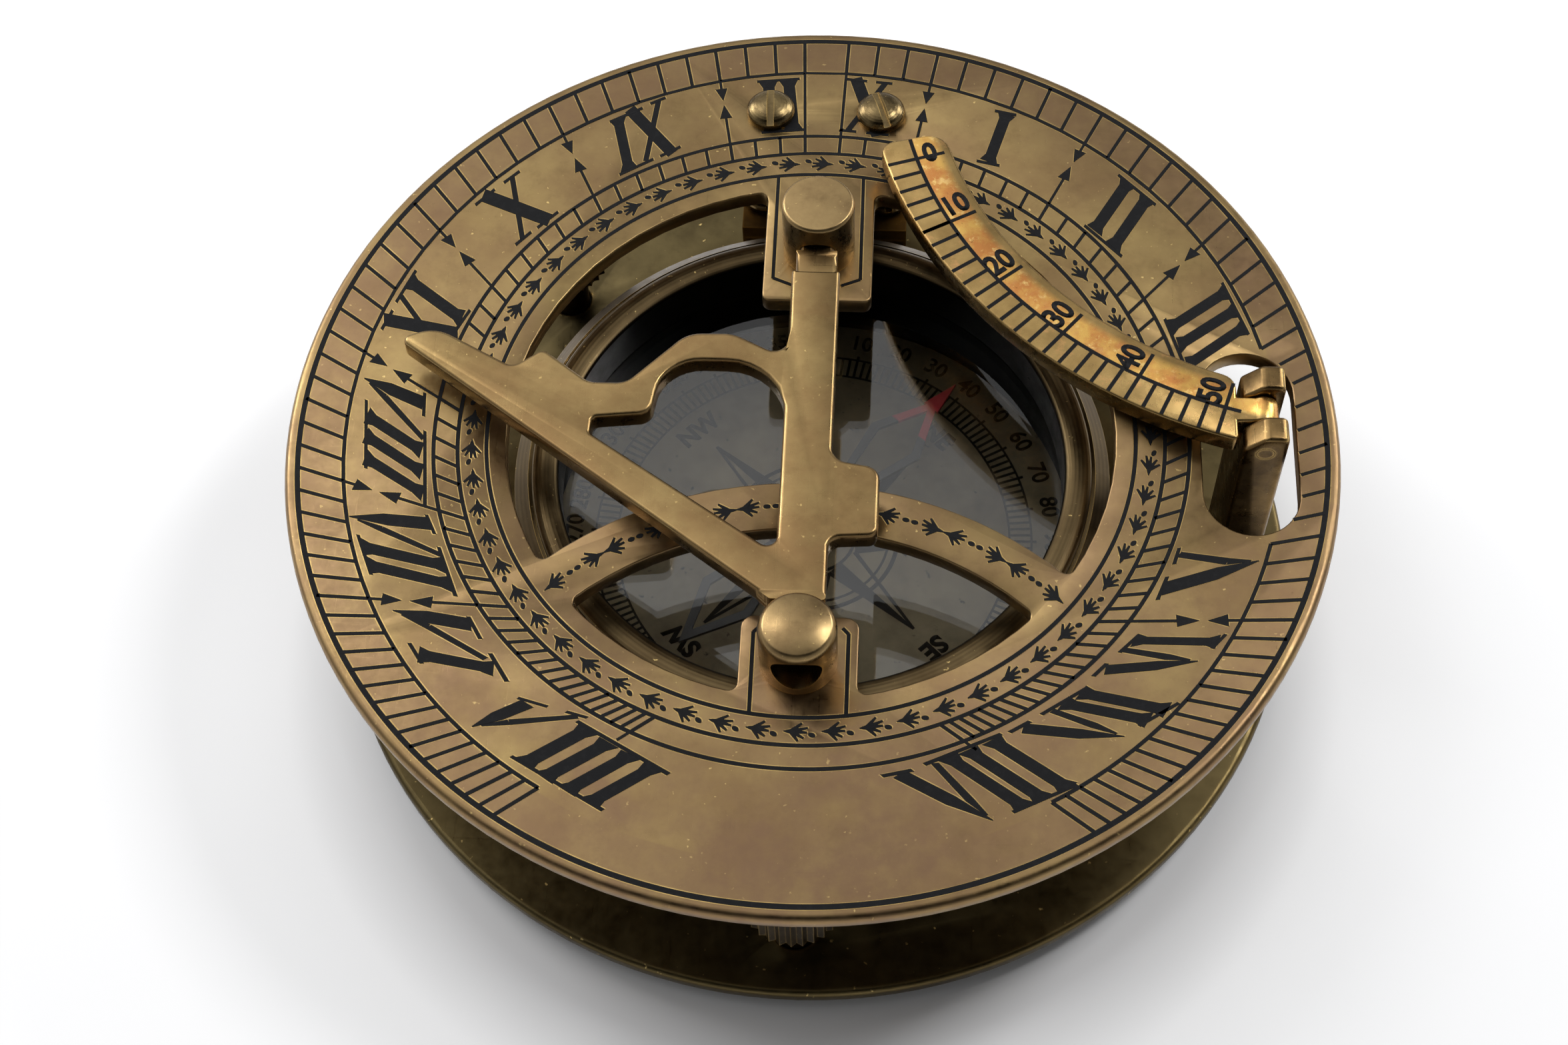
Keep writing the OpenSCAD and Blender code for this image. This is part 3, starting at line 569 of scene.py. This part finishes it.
def letter_i(bm, place, top, foot, width):
    """The letter I: a thick stroke that flares where it meets its serifs."""
    flare = 0.75
    top, foot = Vector(top), Vector(foot)
    stroke(bm, top, foot, width, place=place)
    lean = (foot - top).normalized() * 0.8
    stroke(bm, top, top + lean, width + flare, width, place)
    stroke(bm, foot, foot - lean, width + flare, width, place)


def letter_v(bm, place, top, apex, width, branch, joint):
    """The letter V: a thick stroke to its point and a thin one that joins it part way down."""
    top, apex, joint = Vector(top), Vector(apex), Vector(joint)
    waist = top.lerp(apex, 0.55)
    stroke(bm, top, waist, width * 1.05, width * 0.95, place)
    stroke(bm, waist, apex, width * 0.95, 0.12, place)
    stroke(bm, branch, joint, thin, thin * 1.2, place)
    stroke(bm, joint, joint.lerp(apex, 0.75), thin * 1.2, 0.2, place)


def letter_x(bm, place, top, foot, width, thin_top, thin_foot):
    """The letter X: a thick stroke that runs on into its serifs, and a thin one across it."""
    top, foot = Vector(top), Vector(foot)
    overrun = (foot - top).normalized() * 0.4
    stroke(bm, top - overrun, foot + overrun, width * 0.92, place=place)
    stroke(bm, thin_top, thin_foot, thin, place=place)


def serifs(bm, place, *lines):
    for start, end in lines:
        stroke(bm, start, end, serif, place=place)


def engrave_hour(hour, side, stems=(), vees=(), crosses=(), lines=()):
    """One Roman numeral from its letters and serifs, each point as its place along and inwards."""
    place = on_hour(hour, side)
    for letter in stems:
        letter_i(dial_marks, place, *letter)
    for letter in vees:
        letter_v(dial_marks, place, *letter)
    for letter in crosses:
        letter_x(dial_marks, place, *letter)
    serifs(dial_marks, place, *lines)


dial_marks = bmesh.new()
ring(dial_marks, rim_line, 0.5)
for radius in (*inner_rings, leaf_ring):
    ring(dial_marks, radius, 0.38)
for side in (west, east):
    for tick in range(last_tick + 1):
        hour_line(dial_marks, tick, side, rim_line, hour_ring, 0.35)
        hour_line(dial_marks, tick, side, inner_rings[0], inner_rings[1], 0.33)
    hour_line(dial_marks, 0, side, hour_ring, inner_rings[0], 0.3)
    hour_line(dial_marks, last_tick, side, inner_rings[0] + 1.2, inner_rings[0], 0.26)
    for hour in range(6):
        half = ticks_an_hour * hour + ticks_an_hour // 2
        if slot_distance(hour_point(half, side, 40)) < 1:
            continue
        for head, tail, stem_end in ((40.45, 38.75, inner_rings[0]), (41.15, 42.7, hour_ring)):
            stroke(dial_marks, hour_point(half, side, tail), hour_point(half, side, stem_end), 0.28)
            stroke(dial_marks, hour_point(half, side, tail), hour_point(half, side, head), 1.25, 0.06)
chords = [(west, tick, tick - 1) for tick in range(last_tick, 0, -1)]
chords += [(east, tick, tick + 1) for tick in range(last_tick)]
for side, tick, next_tick in chords:
    start, stop = hour_point(tick, side, hour_ring), hour_point(next_tick, side, hour_ring)
    if min(slot_distance(start), slot_distance(stop)) > slot_margin:
        stroke(dial_marks, start, stop, 0.36)
stroke(dial_marks, hour_point(0, west, hour_ring), hour_point(0, east, hour_ring), 0.3)

engrave_hour(1, east, stems=[((0, 7.3), (0.2, 0.85), 1.17)],
             lines=[((-1.2, 7.2), (1.2, 7.75)), ((-0.8, 0.55), (1.45, 1.0))])
engrave_hour(2, east, stems=[((-0.9, 7.5), (-0.4, 0.8), 1.3), ((1.8, 7.6), (2.27, 0.85), 1.3)],
             lines=[((-2.3, 7.5), (3.0, 7.9)), ((-1.6, 0.8), (3.6, 0.87))])
engrave_hour(3, east, stems=[((-1.9, 7.4), (-2.1, 0.7), 1.15), ((0.53, 7.5), (0.06, 0.7), 1.15),
                             ((2.72, 7.5), (2.3, 0.7), 1.15)],
             lines=[((-3, 7.5), (3.9, 7.6)), ((-3.1, 0.66), (3.4, 0.63))])
engrave_hour(5, east, vees=[((-1.48, 7.5), (0.47, 0.62), 1.6, (2.5, 7.5), (0.86, 3.2))],
             lines=[((-2.8, 7.4), (0, 7.65)), ((1.4, 7.57), (3.3, 7.7))])
engrave_hour(6, east, stems=[((2.53, 7.0), (3.27, 0.85), 0.95)],
             vees=[((-1.42, 7.1), (0.86, 1.38), 1.25, (1.28, 7.1), (0.97, 3.75))],
             lines=[((-2.4, 7.4), (-0.6, 7.4)), ((0.9, 7.27), (3.3, 6.96)), ((2.45, 1.0), (4.2, 0.63))])
engrave_hour(7, east, stems=[((2.06, 7.2), (3.44, 1.1), 1.2), ((3.83, 7.0), (5.1, 0.6), 1.2)],
             vees=[((-2.27, 7.2), (0.9, 1.44), 1.35, (0.86, 7.2), (0.9, 3.9))],
             lines=[((-3.3, 7.43), (-1.2, 7.43)), ((0, 7.43), (4.7, 6.96)), ((2.5, 1.33), (6.2, 0.32))])
engrave_hour(8, east, stems=[((-2.4, 7.5), (-1.97, 0.6), 1.25), ((-0.55, 7.5), (-0.2, 0.5), 1.25),
                             ((1.75, 7.5), (2.1, 0.4), 1.25)],
             vees=[((-7.2, 7.1), (-5.0, 0.62), 1.5, (-3.8, 7.3), (-4.73, 3.04))],
             lines=[((-8.6, 7.2), (-5.9, 7.2)), ((-4.6, 7.44), (2.85, 7.65)), ((-3.1, 0.65), (2.9, 0.3))])
engrave_hour(1, west, stems=[((3.1, 7.5), (2.6, 1.0), 1.1)],
             crosses=[((-1.58, 7.3), (0.97, 0.8), 1.35, (1.16, 7.4), (-2.0, 0.6))],
             lines=[((-2.7, 7.16), (-0.4, 7.5)), ((0.34, 7.54), (4.2, 7.63)), ((-2.8, 0.47), (-1.1, 0.66)),
                    ((-0.2, 0.87), (3.5, 1.05))])
engrave_hour(2, west, crosses=[((-1.95, 7.5), (2.0, 0.9), 1.5, (1.4, 7.4), (-1.5, 1.0))],
             lines=[((-3.4, 7.65), (-0.6, 7.6)), ((0.2, 7.5), (2.4, 7.35)), ((-2.5, 0.98), (-0.4, 0.98)),
                    ((0.8, 0.93), (3.5, 0.83))])
engrave_hour(3, west, stems=[((-2.15, 7.6), (-1.7, 0.75), 1.3)],
             crosses=[((-0.36, 7.6), (3.3, 0.8), 1.4, (2.4, 7.6), (0.2, 0.8))],
             lines=[((-3.5, 7.9), (-0.9, 7.65)), ((-0.9, 7.65), (3.2, 7.7)), ((-3.06, 0.72), (1.1, 0.75)),
                    ((2.06, 0.85), (4.56, 0.7))])
engrave_hour(4, west, stems=[((0.03, 7.3), (-1.1, 1.8), 1.3), ((2.4, 7.3), (1.1, 1.9), 1.3),
                             ((4.84, 7.2), (3.5, 2.0), 1.3)],
             vees=[((-5.16, 6.9), (-4.84, 0.77), 1.4, (-1.38, 7.4), (-3.9, 3.2))],
             lines=[((-6.3, 6.87), (-3.8, 7.2)), ((-2.3, 7.5), (6.4, 7.2)), ((-2.7, 1.47), (4.7, 2.1))])
engrave_hour(5, west, stems=[((0.84, 7.4), (0.3, 0.8), 1.3), ((3.08, 7.2), (2.33, 0.9), 1.3)],
             vees=[((-3.92, 7.3), (-2.9, 0.24), 1.35, (-0.44, 7.4), (-2.16, 3.0))],
             lines=[((-4.9, 7.2), (-2.8, 7.5)), ((-1.34, 7.5), (4.5, 7.07)), ((-1.0, 0.74), (3.44, 0.94))])
engrave_hour(6, west, stems=[((3.2, 5.95), (0.8, 1.5), 1.4)],
             vees=[((-2.4, 6.9), (-4.45, 1.5), 1.6, (1.9, 6.0), (-2.4, 3.6))],
             lines=[((-3.4, 7.1), (-0.6, 6.8)), ((1.25, 6.65), (5.0, 5.98)), ((-0.6, 1.38), (1.9, 1.29))])
engrave_hour(7, west, vees=[((-0.75, 5.7), (-0.08, 0.88), 1.2, (2.5, 7.4), (0.66, 3.35))],
             lines=[((-1.7, 5.54), (0.27, 6.6)), ((1.5, 7.2), (3.0, 7.77))])
engrave_hour(8, west, stems=[((-2.56, 6.9), (-2.87, 1.1), 1.35), ((-0.2, 6.7), (-0.6, 1.0), 1.35),
                             ((2.2, 6.5), (1.78, 0.95), 1.35), ((4.7, 6.2), (4.16, 0.9), 1.35)],
             lines=[((-3.9, 7.0), (6.3, 6.0)), ((-4.2, 1.04), (5.6, 0.82))])


def inward(ring_radius, turn):
    """Lays a mark out inside a ring: x to the west of a line turned clockwise from noon, y inwards."""
    return lambda x, y: bearing(-x, ring_radius - y, turn)


noon_x = inward(hour_ring, 6.3)
letter_x(dial_marks, noon_x, (-1.45, 7.5), (1.45, 0.9), 1.4, (1.45, 7.5), (-1.45, 0.9))
serifs(dial_marks, noon_x, ((-2.7, 7.6), (-0.4, 7.6)), ((0.6, 7.6), (2.3, 7.6)),
       ((-2.2, 0.8), (-0.5, 0.8)), ((0.4, 0.8), (2.6, 0.8)))
noon_ii = inward(hour_ring, -6.45)
for x in (-1.05, 1.05):
    letter_i(dial_marks, noon_ii, (x, 7.5), (x, 0.9), 1.2)
serifs(dial_marks, noon_ii, ((-2.2, 7.6), (2.2, 7.6)), ((-2.2, 0.8), (2.2, 0.8)))


def dot(bm, centre, radius, stretch, turn, place):
    """A round mark, stretched to an oval and turned."""
    c, s = math.cos(math.radians(turn)), math.sin(math.radians(turn))
    level = print_level(bm)
    for vert in bmesh.ops.create_circle(bm, cap_ends=True, segments=14, radius=1)["verts"]:
        x, y = vert.co.x * radius * stretch, vert.co.y * radius
        vert.co = (*place(centre[0] + x * c - y * s, centre[1] + x * s + y * c), level)


def sprig(bm, place, size, stem_length=0.0):
    """A small leaf with five fingers, opening along +x."""

    def sized(x, y):
        return place(x * size, y * size)

    stroke(bm, (-stem_length, 0), (0.4, 0), 0.08, 0.32, sized)
    stroke(bm, (0.25, 0), (1.05, 0.0), 0.26, 0.66, sized)
    for tip, root in (((1.6, 0.86), (0.78, 0.1)), ((2.16, 0.44), (0.85, 0.06)), ((2.12, -0.04), (0.9, 0.0)),
                      ((1.85, -0.62), (0.85, -0.06)), ((1.35, -0.94), (0.72, -0.1))):
        stroke(bm, root, tip, 0.4, 0.2, sized)


leaf_line = 31.7
leaf_step = 6
leaf_start = 2.1
for index in range(360 // leaf_step):
    on_leaf_line = inward(leaf_line, leaf_step * index + leaf_start)
    sprig(dial_marks, on_leaf_line, 0.98)
    dot(dial_marks, (2.5, -0.24), 0.23, 1.5, -20, on_leaf_line)

arch_middle = (0, -41.6)
arch_radius = 33.0
arch_step = 11.2


def on_arch(angle, way):
    """Lays a sprig along the arch: x along it, y outwards."""

    def place(x, y):
        px, py = bearing(way * x, arch_radius + y, angle)
        return px + arch_middle[0], py + arch_middle[1]

    return place


tab_line = 4.25
for side in (west, east):
    for index in range(4):
        middle = side * arch_step * (index + 1)
        inner_side_too = index > 0 or side == west
        if index < 3:
            sprig(dial_marks, on_arch(middle, side), 1.0, 0.1)
        if inner_side_too:
            sprig(dial_marks, on_arch(middle, -side), 1.0, 0.1)
            for offset in (-0.42, 0.42):
                dot(dial_marks, (offset, 0), 0.24, 1.45, 0, on_arch(middle - side * arch_step / 2, 1))
    stroke(dial_marks, (side * tab_line, 17.3), (side * tab_line, 30.0), 0.34)
    stroke(dial_marks, (side * tab_line, 17.35), (side * 2.4, 16.55), 0.34)
    stroke(dial_marks, (side * tab_line, -21.9), (side * tab_line, -30.0), 0.36)
    stroke(dial_marks, (side * tab_line, -21.95), (side * 3.7, -21.35), 0.34)

marks_turn = math.radians(0.29)
bmesh.ops.rotate(dial_marks, verts=dial_marks.verts, matrix=Matrix.Rotation(marks_turn, 3, "Z"))
dial_top = 26.0 * mm
# Shifted brass copies of the marks, laid under the ink: a painted highlight on the lit groove walls.
groove_highlight = aged_brass("painted_groove_highlight", rgb(140, 116, 74), rgb(196, 166, 106), rgb(100, 80, 50), 0.3, 0.1, 0.5)
for edge, shift, sunk in (("near", (0.08, 0.07), 0.003), ("far", (-0.06, -0.07), 0.006)):
    lay_marks(dial_marks.copy(), "painted_groove_highlight_" + edge, dial_top - sunk * mm, groove_highlight, "dial",
              shift, 0.016, False)
lay_marks(dial_marks, "dial_engraving", dial_top + 0.012 * mm, ink.material, "dial")

# Posts: two turned brass pins riveted through the dial's tabs, with the gnomon's ends in
# their cross holes. Only their heads, above the holes, are rounded over.
post_brass = aged_brass("post_brass", rgb(140, 116, 80), rgb(168, 142, 98), rgb(84, 64, 42), 0.3, 0.5, 0.6)
post_heads = 32.4
for post, radius in (("north_post", 0.11), ("south_post", 0.5)):
    softened(post, post_brass, "dial", radius, 4, lambda middle: middle.z > post_heads)

# Gnomon: a flat brass casting with a filed style edge, rubbed bright along its outline.
# It turns in the posts on the tongue at its north end and the journal at its south end.
gnomon_brass = aged_brass("gnomon_brass", rgb(136, 112, 73), rgb(166, 142, 94), rgb(100, 76, 48), 0.3, 0.5,
                          0.9, stain=(rgb(136, 105, 71), (9.5, 30), 0.36))
tongue = 16.7
journal = -20.0
gnomon_middle = 29.3


def on_the_outline(middle):
    """Takes the edges round its two faces, and leaves its ends and its upright corners as they are."""
    return journal < middle.y < tongue and abs(middle.z - gnomon_middle) > 1


softened("gnomon", gnomon_brass, "gnomon", 0.4, 4, on_the_outline, (journal, tongue))

# Studio: a flat white table in a pale tent that is dark in front, with four boxes of soft light.
# The table's glow is only seen, by the camera or in metal and glass, and lights nothing else. It is
# weak under the dial and a little south of it, which paints a shadow in front of the base.
table_size = 5.0
table_mesh = bpy.data.meshes.new("table")
table_top = bmesh.new()
bmesh.ops.create_grid(table_top, x_segments=1, y_segments=1, size=table_size)
table_top.to_mesh(table_mesh)
table_top.free()
table = bpy.data.objects.new("table", table_mesh)
bpy.context.collection.objects.link(table)
white = Finish("white_table", Roughness=0.9)
rays = white.nodes.new("ShaderNodeLightPath").outputs
seen = white.larger(white.larger(rays["Is Camera Ray"], rays["Is Glossy Ray"]), rays["Is Transmission Ray"])
# The glow's weak patch sits a little south of the middle: a painted shadow in front of the base.
painted_shadow_middle = (0, -0.008, 0)
glow_with_painted_shadow = white.between(white.distance(white.place, painted_shadow_middle), 0.044, 0.053, 0.01, 0.24)
far_glow = white.between(white.distance(white.place), 0.25, 0.9, 0.0, 0.48)
table_glow = white.plus(white.times(far_glow, rays["Is Camera Ray"]), white.times(seen, glow_with_painted_shadow))
white.plug(white.shader, {"Base Color": (0.92, 0.92, 0.93, 1), "Emission Color": (1, 1, 1, 1),
                          "Emission Strength": table_glow})
table_mesh.materials.append(white.material)

world = bpy.data.worlds.new("white_tent")
bpy.context.scene.world = world
world.use_nodes = True
tent = world.node_tree
sky = tent.nodes["Background"]
sky.inputs["Color"].default_value = (0.99, 0.995, 1.0, 1)
direction = tent.nodes.new("ShaderNodeTexCoord").outputs["Generated"]


def sky_ramp(towards, dark_at, bright_at, dark, bright):
    """How bright the tent is, by how near a direction lies to the one that it is brightest towards."""
    nearness = tent.nodes.new("ShaderNodeVectorMath")
    nearness.operation = "DOT_PRODUCT"
    nearness.inputs[1].default_value = towards
    tent.links.new(direction, nearness.inputs[0])
    ramp = tent.nodes.new("ShaderNodeMapRange")
    for socket, value in (("From Min", dark_at), ("From Max", bright_at), ("To Min", dark),
                          ("To Max", bright)):
        ramp.inputs[socket].default_value = value
    tent.links.new(nearness.outputs["Value"], ramp.inputs["Value"])
    return ramp.outputs["Result"]


def joined(operation, first, second):
    """Two brightnesses of the tent made one."""
    node = tent.nodes.new("ShaderNodeMath")
    node.operation = operation
    tent.links.new(first, node.inputs[0])
    tent.links.new(second, node.inputs[1])
    return node.outputs["Value"]


overhead_west = sky_ramp((-0.5, 0.35, 0.79), 0.5, 0.95, 0.1, 1.2)
dark_front = sky_ramp((0, 1, 0), -0.45, 0.15, 0.05, 1.0)
low_walls = sky_ramp((0, 0, 1), 0.3, 0.55, 0.42, 0.0)
tent_glow = joined("MAXIMUM", joined("MULTIPLY", overhead_west, dark_front), low_walls)
white_behind = tent.nodes.new("ShaderNodeMix")
white_behind.inputs["B"].default_value = 1.0
tent.links.new(tent.nodes.new("ShaderNodeLightPath").outputs["Is Camera Ray"], white_behind.inputs["Factor"])
tent.links.new(tent_glow, white_behind.inputs["A"])
tent.links.new(white_behind.outputs["Result"], sky.inputs["Strength"])

box_aim = Vector((0, 0, 0.02))
for box, place, size, power in (("west_box", (-0.6, 0.4, 0.38), 0.3, 2.2),
                                ("east_box", (0.6, 0.45, 0.38), 0.3, 2.1),
                                ("key_box", (0.38, 0.2, 0.6), 0.16, 1.3),
                                ("high_west_box", (-0.38, 0.36, 0.72), 0.25, 0.6)):
    light = bpy.data.lights.new(box, "AREA")
    light.shape = "SQUARE"
    light.size = size
    light.energy = power
    lamp = bpy.data.objects.new(box, light)
    lamp.location = place
    lamp.rotation_euler = (box_aim - Vector(place)).to_track_quat("-Z", "Y").to_euler()
    bpy.context.collection.objects.link(lamp)

# Camera: the photograph's angle and lens, found from the dial's circles, the posts and the slot.
# Its target is the point of the dial's top face in the middle of the picture, in millimetres.
focal_pixels = 3677.3
image_width = 2352
sensor = 36.0
elevation = math.radians(58.715)
azimuth = math.radians(5.03)
roll = math.radians(-2.708)
camera_distance = 224.342
camera_target = Vector((-1.945, -10.478, 26.0))

back = Vector((math.sin(azimuth) * math.cos(elevation), -math.cos(azimuth) * math.cos(elevation),
               math.sin(elevation)))
right = Vector((0, 0, 1)).cross(back).normalized()
up = back.cross(right)
tilted_right = math.cos(roll) * right + math.sin(roll) * up
tilted_up = -math.sin(roll) * right + math.cos(roll) * up
lens = bpy.data.cameras.new("camera")
lens.sensor_width = sensor
lens.lens = focal_pixels / image_width * sensor
lens.clip_start = 0.01
camera = bpy.data.objects.new("camera", lens)
camera.matrix_world = Matrix.Translation((camera_target + back * camera_distance) * mm) @ Matrix(
    (tilted_right, tilted_up, back)).transposed().to_4x4()
bpy.context.collection.objects.link(camera)
bpy.context.scene.camera = camera
bpy.context.scene.view_settings.view_transform = "Standard"
